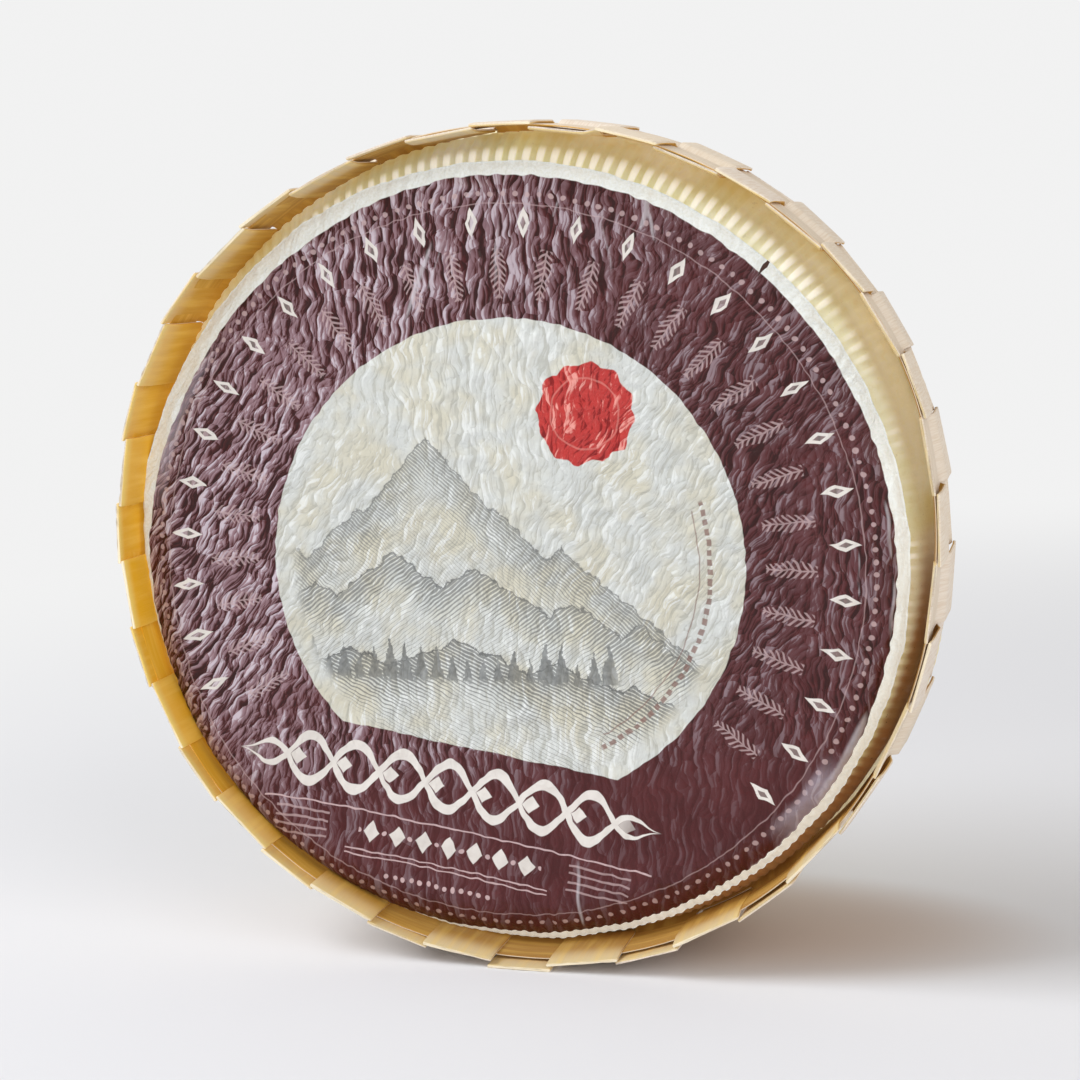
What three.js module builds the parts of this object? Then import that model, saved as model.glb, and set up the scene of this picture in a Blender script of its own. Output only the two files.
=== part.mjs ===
// A whole wheel of cheese standing on its rim, with a round paper label on its face
// and a woven belt of thin wooden slats round its side.
//
// Millimetres, +Z up. The wheel's axis runs along Y and its labelled face looks towards -Y.
// Angles round the wheel run clockwise from the top, as seen from the front.
// The origin is the middle of the whole thing's footprint, on the surface it stands on.

import * as THREE from 'three';

const DEGREE = Math.PI / 180;
const TURN = 2 * Math.PI;

// ---------------------------------------------------------------- driving dimensions

// The cheese: its face lies in the plane y = 0 and its back in the plane y = height.
const CHEESE_RADIUS = 151.2; // over the ribs, at the face
const CHEESE_HEIGHT = 80;
const SNUG_DEPTH = 58; // how far behind the face the soft cheese fills the belt
const SNUG_GAP = 0.4; // between its side there and the belt's inner slats
const HEEL_START = 61.5; // how far behind the face it starts to swell out of the belt
const HEEL_OVERHANG = 1.2; // how far the swelling stands past the middle of the belt's rear end
const CORNER_ACROSS = 17; // how far the rounded corner reaches in from the side
const CORNER_DEEP = 13; // how far it reaches back from the face
const CORNER_STEPS = 3;
const RIB_COUNT = 173; // the fine ribs that the mould leaves round the corner and side
const RIB_DEPTH = 1.0;

// The paper label: a disc that lies a little low and left on the face, and folds over the corner.
const LABEL_RADIUS = 151;
const LABEL_RIGHT = -5.2;
const LABEL_UP = -6.2;
const LABEL_THICKNESS = 0.5;
const LABEL_GAP = 0.4;
const LABEL_COLUMNS = 72;
const LABEL_FOLD_STEPS = 6;

// The belt: slats along the axis, woven in and out of two thin bands. It is loose and not quite
// round: these are its radii at even steps from the top, at the front end and at the rear end.
const FRONT_RADII = [156, 158.3, 160.8, 156.5, 156.3, 158.8, 157.8, 155.8, 156.6, 157.2, 160, 156.8];
const REAR_RADII = [158.6, 158.8, 156.4, 154.8, 158.4, 158.8, 157.8, 157, 157, 157, 157.6, 158];
const BELT_FRONT = -15;
const BELT_LENGTH = 75;

const SLAT_COUNT = 40;
const SLAT_THICKNESS = 1.2;
const SLAT_SPACING = 0.3; // the gap between two slats side by side
const SLAT_NARROWEST = 0.4; // the largest part of its width that a slat may lack, in mm
const SLAT_OUTER_LEVEL = 1.2; // the slat's middle, from the bands' middle, where it passes outside
const SLAT_INNER_LEVEL = -1.65; // and where it passes inside
const SLAT_END_LEVEL = 0.7; // how far out or in their free ends lie, which close up past the bands
const SLAT_TRIM = 1.2; // how much shorter a slat's end may be cut
const SLAT_SLANT = 0.8; // how far out of square its end may be cut

// The slats sit closer together on one side of each of these places, and wider on the other.
const SLAT_SHIFTS = [
  { at: 72 * DEGREE, spread: 45 * DEGREE, shift: -4.7 * DEGREE },
  { at: 258 * DEGREE, spread: 36 * DEGREE, shift: 1.8 * DEGREE },
];

const BAND_THICKNESS = 0.7;
const BAND_WIDTH = 23;
const BAND_SETBACK = 9; // from the slats' ends to the band's edge, front and rear
const BAND_STEPS = 120;

const STANDING_SLAT = SLAT_COUNT / 2; // the lowest slat, which lies flat and carries the wheel
const STANDING_DROP = 0.4; // how much lower it lies than the other outer slats
const SEED = 20;

// ---------------------------------------------------------------- materials

const rind = new THREE.MeshStandardMaterial({ color: 0xd9cb94, roughness: 0.62, metalness: 0 });
const paper = new THREE.MeshStandardMaterial({ color: 0x5f3d42, roughness: 0.45, metalness: 0 });
const slatWood = new THREE.MeshStandardMaterial({ color: 0xdcbf88, roughness: 0.7, metalness: 0 });
const bandWood = new THREE.MeshStandardMaterial({ color: 0xdccab0, roughness: 0.72, metalness: 0 });

// ---------------------------------------------------------------- helpers

// A repeatable stream of numbers from 0 to 1.
function randomStream(seed) {
  let state = seed;
  return () => {
    state = (state + 0x6d2b79f5) | 0;
    let mixed = Math.imul(state ^ (state >>> 15), 1 | state);
    mixed = (mixed + Math.imul(mixed ^ (mixed >>> 7), 61 | mixed)) ^ mixed;
    return ((mixed ^ (mixed >>> 14)) >>> 0) / 4294967296;
  };
}

function signedVolume(points, triangles) {
  let sum = 0;
  for (const [a, b, c] of triangles) {
    sum += points[a].dot(new THREE.Vector3().crossVectors(points[b], points[c]));
  }
  return sum / 6;
}

// A closed body from its points and triangles, turned so that its faces point out.
function bodyGeometry(points, triangles) {
  const inward = signedVolume(points, triangles) < 0;
  const geometry = new THREE.BufferGeometry();
  geometry.setFromPoints(points);
  geometry.setIndex(triangles.flatMap(([a, b, c]) => (inward ? [a, c, b] : [a, b, c])));
  geometry.computeVertexNormals();
  return geometry;
}

// A skin over rings that all have the same number of points. Its ends are closed by a pole
// where one is given and by a flat fan where not, or the last ring joins the first.
function loft(rings, { poles = null, endless = false } = {}) {
  const size = rings[0].length;
  const points = rings.flat();
  const triangles = [];
  const joins = endless ? rings.length : rings.length - 1;
  for (let ring = 0; ring < joins; ring += 1) {
    const here = ring * size;
    const next = ((ring + 1) % rings.length) * size;
    for (let i = 0; i < size; i += 1) {
      const j = (i + 1) % size;
      triangles.push([here + i, next + i, next + j], [here + i, next + j, here + j]);
    }
  }
  const last = (rings.length - 1) * size;
  if (poles) {
    const [first, second] = [points.length, points.length + 1];
    points.push(...poles);
    for (let i = 0; i < size; i += 1) {
      const j = (i + 1) % size;
      triangles.push([first, i, j], [second, last + j, last + i]);
    }
  } else if (!endless) {
    for (let i = 1; i < size - 1; i += 1) {
      triangles.push([0, i, i + 1], [last, last + i + 1, last + i]);
    }
  }
  return bodyGeometry(points, triangles);
}

// The point at an angle round the wheel, a distance from its axis and a depth behind its face.
function wheelPoint(angle, distance, depth) {
  return new THREE.Vector3(distance * Math.sin(angle), depth, distance * Math.cos(angle));
}

function namedMesh(name, geometry, material) {
  const mesh = new THREE.Mesh(geometry, material);
  mesh.name = name;
  return mesh;
}

// ---------------------------------------------------------------- the cheese

// The corner is a quarter of an ellipse. At turn 0 it meets the face, and at 90 degrees the side.
// It gives the distance from the axis, the depth, and the direction out of the surface.
function cornerAt(turn) {
  const distance = CHEESE_RADIUS - CORNER_ACROSS * (1 - Math.sin(turn));
  const depth = CORNER_DEEP * (1 - Math.cos(turn));
  const outward = new THREE.Vector2(Math.sin(turn) / CORNER_ACROSS, -Math.cos(turn) / CORNER_DEEP);
  return { distance, depth, outward: outward.normalize() };
}

// How far from the axis the cheese's side lies where it fills the belt, and at its swollen heel.
function snugRadius(angle) {
  return beltRadius(angle, SNUG_DEPTH) + SLAT_INNER_LEVEL - SLAT_THICKNESS / 2 - SNUG_GAP;
}

function heelRadius(angle) {
  return beltRadius(angle, BELT_FRONT + BELT_LENGTH) + HEEL_OVERHANG;
}

// One ring round the cheese, from its distance at each angle. Every second point is sunk
// into a furrow between two ribs.
function ribbedRing(distanceAt, depth, furrow, outward) {
  return Array.from({ length: 2 * RIB_COUNT }, (_, column) => {
    const sunk = column % 2 === 1 ? furrow : 0;
    const angle = (TURN * column) / (2 * RIB_COUNT);
    return wheelPoint(angle, distanceAt(angle) - sunk * outward.x, depth - sunk * outward.y);
  });
}

// The rings of one corner, from the flat to the side. The ribs fade out where it meets the flat.
function cornerRings(atBack) {
  return Array.from({ length: CORNER_STEPS + 1 }, (_, step) => {
    const turn = (90 * DEGREE * step) / CORNER_STEPS;
    const { distance, depth, outward } = cornerAt(turn);
    const furrow = RIB_DEPTH * Math.min(1, 1.25 * Math.sin(turn));
    if (!atBack) {
      return ribbedRing(() => distance, depth, furrow, outward);
    }
    const atHeel = (angle) => distance + heelRadius(angle) - CHEESE_RADIUS;
    return ribbedRing(atHeel, CHEESE_HEIGHT - depth, furrow, { x: outward.x, y: -outward.y });
  });
}

function cheeseGeometry() {
  const front = cornerRings(false);
  const outward = { x: 1, y: 0 };
  const snug = [SNUG_DEPTH, HEEL_START].map((depth) => ribbedRing(snugRadius, depth, RIB_DEPTH, outward));
  const back = cornerRings(true).reverse();
  const poles = [new THREE.Vector3(0, 0, 0), new THREE.Vector3(0, CHEESE_HEIGHT, 0)];
  return loft([...front, ...snug, ...back], { poles });
}

// ---------------------------------------------------------------- the label

// Where a point of the flat paper comes to lie once the paper is folded over the corner,
// a height above the rind. Its distance from the axis was measured along the flat paper.
function foldedPoint(angle, flatDistance, height) {
  const faceEdge = CHEESE_RADIUS - CORNER_ACROSS;
  if (flatDistance <= faceEdge) {
    return wheelPoint(angle, flatDistance, -height);
  }
  let left = flatDistance - faceEdge;
  let turn = 0;
  const step = 0.5 * DEGREE;
  while (left > 0 && turn < 90 * DEGREE) {
    left -= step * Math.hypot(CORNER_ACROSS * Math.cos(turn), CORNER_DEEP * Math.sin(turn));
    turn += step;
  }
  const { distance, depth, outward } = cornerAt(turn);
  return wheelPoint(angle, distance + height * outward.x, depth + height * outward.y + Math.max(0, left));
}

// How far the paper's rim is from the cheese's axis at an angle, measured along the flat paper.
function labelReach(angle) {
  const along = LABEL_RIGHT * Math.sin(angle) + LABEL_UP * Math.cos(angle);
  const offset = Math.hypot(LABEL_RIGHT, LABEL_UP);
  return along + Math.sqrt(LABEL_RADIUS ** 2 - offset ** 2 + along ** 2);
}

function labelGeometry() {
  const faceEdge = CHEESE_RADIUS - CORNER_ACROSS;
  const steps = Array.from({ length: LABEL_FOLD_STEPS + 1 }, (_, i) => i / LABEL_FOLD_STEPS);
  const angles = Array.from({ length: LABEL_COLUMNS }, (_, i) => (TURN * i) / LABEL_COLUMNS);
  const ringAt = (share, height) =>
    angles.map((angle) => {
      const reach = faceEdge + share * (labelReach(angle) - faceEdge);
      return foldedPoint(angle, reach, height);
    });
  const under = steps.map((share) => ringAt(share, LABEL_GAP));
  const over = steps.map((share) => ringAt(share, LABEL_GAP + LABEL_THICKNESS)).reverse();
  const poles = [
    new THREE.Vector3(0, -LABEL_GAP, 0),
    new THREE.Vector3(0, -LABEL_GAP - LABEL_THICKNESS, 0),
  ];
  return loft([...under, ...over], { poles });
}

// ---------------------------------------------------------------- the belt

// The radius at an angle on a smooth closed line through radii at even steps round the wheel.
function radiusRound(radii, angle) {
  const place = ((((angle / TURN) % 1) + 1) % 1) * radii.length;
  const start = Math.floor(place);
  const share = place - start;
  const [before, here, next, after] = [-1, 0, 1, 2].map(
    (step) => radii[(start + step + radii.length) % radii.length],
  );
  const leaving = (next - before) / 2;
  const arriving = (after - here) / 2;
  return (
    here +
    leaving * share +
    (3 * (next - here) - 2 * leaving - arriving) * share ** 2 +
    (2 * (here - next) + leaving + arriving) * share ** 3
  );
}

// The radius of the belt's middle at an angle and a depth behind the face.
function beltRadius(angle, depth) {
  const share = (depth - BELT_FRONT) / BELT_LENGTH;
  return radiusRound(FRONT_RADII, angle) * (1 - share) + radiusRound(REAR_RADII, angle) * share;
}

// Which way the belt faces at a place, as an angle round the wheel.
function beltFacing(angle, depth) {
  const near = 0.5 * DEGREE;
  const slope = (beltRadius(angle + near, depth) - beltRadius(angle - near, depth)) / (2 * near);
  return angle - Math.atan2(slope, beltRadius(angle, depth));
}

// The angles of the slats' middles. The standing slat stays exactly at the bottom.
function slatAngle(index) {
  const even = (TURN * index) / SLAT_COUNT;
  if (index === STANDING_SLAT) {
    return even;
  }
  const shifts = SLAT_SHIFTS.map(({ at, spread, shift }) => shift * Math.exp(-(((even - at) / spread) ** 2)));
  return even + shifts.reduce((sum, shift) => sum + shift, 0);
}

// The widest a slat can be and still pass its two neighbours, where all three cross the bands' level.
function slatRoom(index) {
  const gapTo = (other, depth) => {
    const [here, there] = [index, (other + SLAT_COUNT) % SLAT_COUNT].map((i) => {
      const angle = slatAngle(i);
      return wheelPoint(angle, beltRadius(angle, depth), depth);
    });
    return here.distanceTo(there);
  };
  const ends = [BELT_FRONT, BELT_FRONT + BELT_LENGTH];
  const gaps = ends.flatMap((depth) => [gapTo(index - 1, depth), gapTo(index + 1, depth)]);
  return Math.min(...gaps) - SLAT_SPACING;
}

// Where a slat runs, from front to rear, as depths and levels. Even slats start outside the
// front band and end inside the rear one, and odd slats the other way round.
function slatPath(index, frontTrim, rearTrim) {
  const startsOutside = index % 2 === 0;
  const standing = index === STANDING_SLAT;
  const outer = SLAT_OUTER_LEVEL + (standing ? STANDING_DROP : 0);
  const front = startsOutside ? outer : SLAT_INNER_LEVEL;
  const rear = !startsOutside || standing ? outer : SLAT_INNER_LEVEL;
  const endLevel = (level) => (standing ? level : SLAT_END_LEVEL * Math.sign(level));
  const beltRear = BELT_FRONT + BELT_LENGTH;
  return [
    { depth: BELT_FRONT + frontTrim, level: endLevel(front) },
    { depth: BELT_FRONT + BAND_SETBACK, level: front },
    { depth: BELT_FRONT + BAND_SETBACK + BAND_WIDTH, level: front },
    { depth: beltRear - BAND_SETBACK - BAND_WIDTH, level: rear },
    { depth: beltRear - BAND_SETBACK, level: rear },
    { depth: beltRear - rearTrim, level: endLevel(rear) },
  ];
}

// A slat along its path on the belt: at each depth it faces the way the belt does.
function slatGeometry(index, path, width, frontSlant, rearSlant) {
  const angle = slatAngle(index);
  const half = width / 2;
  const thick = SLAT_THICKNESS / 2;
  const section = [[-half, -thick], [half, -thick], [half, thick], [-half, thick]];
  const slants = path.map((_, i) => (i === 0 ? frontSlant : i === path.length - 1 ? rearSlant : 0));
  const rings = path.map(({ depth, level }, i) => {
    const facing = index === STANDING_SLAT ? angle : beltFacing(angle, depth);
    const across = new THREE.Vector3(Math.cos(facing), 0, -Math.sin(facing));
    const out = new THREE.Vector3(Math.sin(facing), 0, Math.cos(facing));
    return section.map(([x, z]) =>
      wheelPoint(angle, beltRadius(angle, depth), depth + (slants[i] * x) / half)
        .addScaledVector(across, x)
        .addScaledVector(out, level + z),
    );
  });
  return loft(rings);
}

function slats() {
  const random = randomStream(SEED);
  return Array.from({ length: SLAT_COUNT }, (_, index) => {
    const standing = index === STANDING_SLAT;
    const width = slatRoom(index) - SLAT_NARROWEST * random();
    const [frontTrim, rearTrim] = [SLAT_TRIM * random(), SLAT_TRIM * random()];
    const [frontSlant, rearSlant] = [SLAT_SLANT * (random() - 0.5), SLAT_SLANT * (random() - 0.5)];
    const path = slatPath(index, standing ? 0 : frontTrim, standing ? 0 : rearTrim);
    const name = `slat_${String(index + 1).padStart(2, '0')}`;
    return namedMesh(name, slatGeometry(index, path, width, frontSlant, rearSlant), slatWood);
  });
}

function bandGeometry(frontEdge) {
  const half = BAND_THICKNESS / 2;
  const section = [[-half, 0], [half, 0], [half, BAND_WIDTH], [-half, BAND_WIDTH]];
  const rings = Array.from({ length: BAND_STEPS }, (_, step) => {
    const angle = (TURN * step) / BAND_STEPS;
    return section.map(([out, back]) => {
      const depth = frontEdge + back;
      return wheelPoint(angle, beltRadius(angle, depth) + out, depth);
    });
  });
  return loft(rings, { endless: true });
}

function belt() {
  const frontEdge = BELT_FRONT + BAND_SETBACK;
  const rearEdge = BELT_FRONT + BELT_LENGTH - BAND_SETBACK - BAND_WIDTH;
  const group = new THREE.Group();
  group.add(...slats());
  group.add(namedMesh('band_front', bandGeometry(frontEdge), bandWood));
  group.add(namedMesh('band_rear', bandGeometry(rearEdge), bandWood));
  return group;
}

// ---------------------------------------------------------------- the whole thing

const wheel = new THREE.Group();
wheel.add(namedMesh('cheese', cheeseGeometry(), rind));
wheel.add(namedMesh('label', labelGeometry(), paper));
wheel.add(belt());

// Stands it on the lowest slat, with the middle of its footprint at the origin.
wheel.updateMatrixWorld(true);
const extent = new THREE.Box3().setFromObject(wheel, true);
const middle = extent.getCenter(new THREE.Vector3());
wheel.position.set(-middle.x, -middle.y, -extent.min.z);

const cheeseWheel = new THREE.Group();
cheeseWheel.add(wheel);

export default cheeseWheel;
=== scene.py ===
"""The looks of a whole cheese wheel: ribbed rind, crinkled paper label and belt of wooden slats.

Shapes are made in millimetres in the frame's axes: the wheel's axis runs along Y, its labelled
face looks towards -Y, and angles run clockwise from the top, seen from the front.
"""

import math

import bmesh
import bpy
import numpy as np
from mathutils import Euler, Matrix, Vector

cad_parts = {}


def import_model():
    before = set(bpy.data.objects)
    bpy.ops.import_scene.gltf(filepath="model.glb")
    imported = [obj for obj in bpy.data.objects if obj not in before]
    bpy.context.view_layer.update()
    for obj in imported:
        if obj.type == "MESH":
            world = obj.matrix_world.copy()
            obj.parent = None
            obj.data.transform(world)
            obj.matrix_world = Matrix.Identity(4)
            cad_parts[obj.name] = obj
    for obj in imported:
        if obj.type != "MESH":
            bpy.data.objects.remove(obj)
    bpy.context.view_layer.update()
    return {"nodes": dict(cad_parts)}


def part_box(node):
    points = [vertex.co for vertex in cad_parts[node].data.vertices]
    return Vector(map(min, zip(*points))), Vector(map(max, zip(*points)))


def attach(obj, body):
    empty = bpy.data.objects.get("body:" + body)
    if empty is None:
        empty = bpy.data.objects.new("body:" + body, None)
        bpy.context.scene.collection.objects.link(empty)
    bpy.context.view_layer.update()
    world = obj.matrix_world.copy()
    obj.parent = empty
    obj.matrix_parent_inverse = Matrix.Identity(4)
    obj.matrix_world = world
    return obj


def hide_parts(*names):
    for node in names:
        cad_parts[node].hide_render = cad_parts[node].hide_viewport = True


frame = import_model()

MM = 0.001
TURN = 2 * math.pi
BODY = "root"

# ---------- sizes, in millimetres

cheese_low, cheese_high = (np.array(corner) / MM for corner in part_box("cheese"))
AXIS_X, _, AXIS_Z = (cheese_low + cheese_high) / 2
FACE_Y = cheese_low[1]

# The cheese, as in the model that the frame holds. Its side fills the belt up to the snug depth,
# and behind the belt it swells out into the heel.
CHEESE_RADIUS = 151.2
CHEESE_HEIGHT = 80.0
SNUG_DEPTH = 58.0
HEEL_START = 61.5
CORNER_ACROSS = 17.0
CORNER_DEEP = 13.0

# Its finer surface: more ribs than the model's, and a rind that swells out to the slats between
# the swelling depths. Behind the belt the ribs are weak, and the heel is tucked in on one side.
RIB_COUNT = 206
RIB_CROWDING = 30
RIB_DEPTH = 1.0
BACK_RIBS = 0.3
SNUG_INSET = 2.3
SWELLING_DEPTHS = (9.0, 19.0)
HEEL_OVERHANG = 1.9
HEEL_TUCK = 3.4

# The label, a disc of paper that is folded over the cheese's corner.
LABEL_RADIUS = 151.0
LABEL_RIGHT = -5.2
LABEL_UP = -6.2
LABEL_LOW_SIDE = 0.15
LABEL_TOP_SIDE = 0.75
LABEL_CELLS = 320

# Its print, from the label's middle. The cream's foot and the panel below it lie at a tilt.
MARGIN_START = 146.0
CREAM_RADIUS = 92.0
CREAM_FOOT = -73.5
PANEL_TILT = 9.5
PANEL_TOP = -76.0
PLAIT_LENGTH = 38
ORNAMENT_COUNT = 40
FIR_SPACING = 6.2

# The belt. Its radii are given at even steps from the top, at its front end and at its rear end.
FRONT_RADII = np.array([156, 158.3, 160.8, 156.5, 156.3, 158.8, 157.8, 155.8, 156.6, 157.2, 160, 156.8])
REAR_RADII = np.array([158.6, 158.8, 156.4, 154.8, 158.4, 158.8, 157.8, 157, 157, 157, 157.6, 158])
BELT_FRONT = -15.0
BELT_LENGTH = 75.0
BAND_WIDTH = 23.0
BAND_SETBACK = 9.0
BAND_THICKNESS = 0.7
SLAT_COUNT = 40
STANDING_SLAT = "slat_21"
KINKED_SLAT = "slat_02"


# ---------- helpers for shapes


def smooth_noise(x, y, seed):
    """Smooth random heights from -1 to 1 over a plane, about one hill to each unit."""
    size = 256
    table = np.random.default_rng(seed).uniform(-1, 1, (size, size))
    left, low = np.floor(x).astype(int), np.floor(y).astype(int)
    across, up = ((part * part * (3 - 2 * part)) for part in (x - left, y - low))

    def corner(right_step, up_step):
        return table[(left + right_step) % size, (low + up_step) % size]

    bottom = corner(0, 0) * (1 - across) + corner(1, 0) * across
    top = corner(0, 1) * (1 - across) + corner(1, 1) * across
    return bottom * (1 - up) + top * up


def smooth_step(low, high, value):
    share = np.clip((value - low) / (high - low), 0, 1)
    return share * share * (3 - 2 * share)


def near_angle(angle, degrees, spread):
    """1 at an angle round the wheel, falling off smoothly to both sides."""
    return np.exp(-(((np.degrees(angle) % 360 - degrees) / spread) ** 2))


def noise_round(angle, hills, shift, seed):
    """Smooth random heights round the wheel, which close up without a seam."""
    return smooth_noise(hills * np.cos(angle) + shift, hills * np.sin(angle) + shift, seed)


def wheel_points(angle, distance, depth):
    """Points at an angle round the wheel, a distance from its axis and a depth behind its face."""
    x = AXIS_X + distance * np.sin(angle)
    z = AXIS_Z + distance * np.cos(angle)
    return np.stack(np.broadcast_arrays(x, FACE_Y + depth, z), -1).reshape(-1, 3)


def radius_round(radii, angle):
    """The radius at an angle on a smooth closed line through radii at even steps."""
    place = (angle / TURN % 1) * len(radii)
    start = np.floor(place).astype(int)
    share = place - start
    before, here, following, after = (radii[(start + step) % len(radii)] for step in (-1, 0, 1, 2))
    leaving = (following - before) / 2
    arriving = (after - here) / 2
    square = 3 * (following - here) - 2 * leaving - arriving
    cube = 2 * (here - following) + leaving + arriving
    return here + leaving * share + square * share**2 + cube * share**3


def belt_radius(angle, depth):
    """The radius of the belt's middle at an angle and a depth behind the cheese's face."""
    share = (depth - BELT_FRONT) / BELT_LENGTH
    return radius_round(FRONT_RADII, angle) * (1 - share) + radius_round(REAR_RADII, angle) * share


def ring_faces(ring, other):
    """The faces between two rings of point numbers. The other may have several times the points."""
    ratio = len(other) // len(ring)
    faces = []
    for i, here in enumerate(ring):
        fan = [other[(i * ratio + k) % len(other)] for k in range(ratio, -1, -1)]
        faces.append([here, ring[(i + 1) % len(ring)], *fan])
    return faces


def tube_faces(rows, count, closed):
    """The faces of a tube of point rows, closed into a ring or with both its ends capped."""
    rings = [list(range(i * count, (i + 1) * count)) for i in range(rows)]
    faces = []
    for ring, other in zip(rings, rings[1:] + rings[:closed]):
        faces += ring_faces(ring, other)
    if not closed:
        faces += [rings[0][::-1], rings[-1]]
    return faces


def piece(name, points, faces, material, attributes=None, crease=None):
    """A mesh object from points in millimetres, facing out, with its surface data."""
    mesh = bpy.data.meshes.new(name)
    mesh.from_pydata((np.asarray(points) * MM).tolist(), [], faces)
    for key, values in (attributes or {}).items():
        values = np.asarray(values, np.float32)
        kind = "FLOAT" if values.ndim == 1 else "FLOAT_VECTOR"
        data = mesh.attributes.new(key, kind, "POINT").data
        data.foreach_set("value" if values.ndim == 1 else "vector", values.ravel())
    solid = bmesh.new()
    solid.from_mesh(mesh)
    if solid.calc_volume(signed=True) < 0:
        mesh.flip_normals()
    solid.free()
    mesh.shade_smooth()
    if crease is not None:
        mesh.set_sharp_from_angle(angle=math.radians(crease))
    mesh.materials.append(material)
    made = bpy.data.objects.new(name, mesh)
    bpy.context.scene.collection.objects.link(made)
    return made


# ---------- helpers for materials


def srgb(red, green, blue):
    """A colour given as 0 to 255, as the shader's linear values."""
    shares = [value / 255 for value in (red, green, blue)]
    return (*[v / 12.92 if v <= 0.04045 else ((v + 0.055) / 1.055) ** 2.4 for v in shares], 1.0)


class Finish:
    """A material in the making: a Principled shader and the nodes that feed it."""

    def __init__(self, name):
        self.material = bpy.data.materials.new(name)
        self.material.use_nodes = True
        self.nodes = self.material.node_tree.nodes
        self.links = self.material.node_tree.links
        self.shader = self.nodes["Principled BSDF"]

    def feed(self, socket, value):
        if isinstance(value, Term):
            self.links.new(value.socket, socket)
        else:
            socket.default_value = value

    def set(self, **inputs):
        for name, value in inputs.items():
            self.feed(self.shader.inputs[name.replace("_", " ")], value)

    def node(self, kind, inputs, output=0, **settings):
        node = self.nodes.new(kind)
        for key, value in settings.items():
            setattr(node, key, value)
        for key, value in inputs.items():
            self.feed(node.inputs[key], value)
        return Term(self, node.outputs[output])

    def attribute(self, name, output="Fac"):
        """What the mesh holds at each point under a name, as a value or as a vector."""
        return self.node("ShaderNodeAttribute", {}, output, attribute_name=name)

    def place(self):
        """The x, y and z of a point, in metres."""
        return self.node("ShaderNodeTexCoord", {}, "Object").parts()


class Term:
    """A value, vector or colour in a material's nodes. Values add and multiply like numbers."""

    def __init__(self, finish, socket):
        self.finish = finish
        self.socket = socket

    def math(self, operation, *others):
        values = dict(enumerate((self, *others)))
        return self.finish.node("ShaderNodeMath", values, operation=operation)

    def __add__(self, other):
        return self.math("ADD", other)

    def __sub__(self, other):
        return self.math("SUBTRACT", other)

    def __rsub__(self, other):
        return self.math("MULTIPLY_ADD", -1.0, other)

    def __mul__(self, other):
        return self.math("MULTIPLY", other)

    def __abs__(self):
        return self.math("ABSOLUTE")

    __radd__ = __add__
    __rmul__ = __mul__

    def step(self, low, high, start=0.0, end=1.0):
        """Goes smoothly from start to end as the value goes from low to high."""
        inputs = {0: self, 1: low, 2: high, 3: start, 4: end}
        return self.finish.node("ShaderNodeMapRange", inputs, interpolation_type="SMOOTHSTEP")

    def below(self, limit=0.0, soft=0.3):
        """1 where the value is under the limit and 0 above it."""
        return self.step(limit - soft / 2, limit + soft / 2, 1.0, 0.0)

    def repeated(self, length, shift=0.0):
        """How far the value is past the nearest of many marks, which lie a length apart."""
        return ((self * (1 / length) + shift).math("FRACT") - 0.5) * length

    def random(self):
        """A random value from 0 to 1 that stays the same where this value does."""
        return self.finish.node("ShaderNodeTexWhiteNoise", {"W": self}, noise_dimensions="1D")

    def mix(self, first, second):
        """From the first colour to the second as the value goes from 0 to 1."""
        inputs = {0: self, 6: first, 7: second}
        return self.finish.node("ShaderNodeMix", inputs, 2, data_type="RGBA")

    def bump(self, distance, strength):
        """The surface's slant where this value is its height, in steps of a distance."""
        inputs = {"Height": self, "Distance": distance * MM, "Strength": strength}
        return self.finish.node("ShaderNodeBump", inputs)

    def parts(self):
        """The x, y and z of a vector."""
        first = self.finish.node("ShaderNodeSeparateXYZ", {0: self})
        return [Term(self.finish, output) for output in first.socket.node.outputs]

    def noise(self, scale, detail, roughness=0.5, distortion=0.0, output="Fac"):
        """Soft noise round 0.5 at a place, with features about 1 / scale wide."""
        inputs = {"Vector": self, "Scale": scale, "Detail": detail}
        inputs.update({"Roughness": roughness, "Distortion": distortion})
        return self.finish.node("ShaderNodeTexNoise", inputs, output)


def vector(x, y, z=0.0):
    return x.finish.node("ShaderNodeCombineXYZ", {0: x, 1: y, 2: z})


def most(first, *others):
    """The greatest of several values."""
    for other in others:
        first = first.math("MAXIMUM", other)
    return first


def polar(right, up):
    """The angle from the top and the distance of a place on a plane."""
    return right.math("ARCTAN2", up), (right * right + up * up).math("SQRT")


def layer(colour, *layers):
    """The colour with others laid over it, each given as a share and a colour."""
    for share, over in layers:
        colour = share.mix(colour, over)
    return colour


# ---------- the rind


def corner_at(turn, radius=CHEESE_RADIUS, across=CORNER_ACROSS, deep=CORNER_DEEP):
    """The rounded corner: distance from the axis, depth, and the direction out of the surface."""
    distance = radius - across * (1 - np.sin(turn))
    depth = deep * (1 - np.cos(turn))
    outward = np.stack([np.sin(turn) / across, -np.cos(turn) / deep], -1)
    return distance, depth, outward / np.linalg.norm(outward, axis=-1, keepdims=True)


def swelling(angle, depth, snug, heel):
    """How much further out than at the face the cheese's side lies, from the shares of the
    stretch where it fills the belt and of the heel that swells out behind it. At the upper right
    the heel stays inside the belt."""
    snug_radius = belt_radius(angle, depth) - SNUG_INSET
    tucked = np.exp(-((((np.degrees(angle) + 150) % 360 - 200) / 52) ** 4))
    heel_radius = belt_radius(angle, BELT_FRONT + BELT_LENGTH) + HEEL_OVERHANG - HEEL_TUCK * tucked
    return snug * (snug_radius - CHEESE_RADIUS) + heel * (heel_radius - CHEESE_RADIUS)


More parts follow.
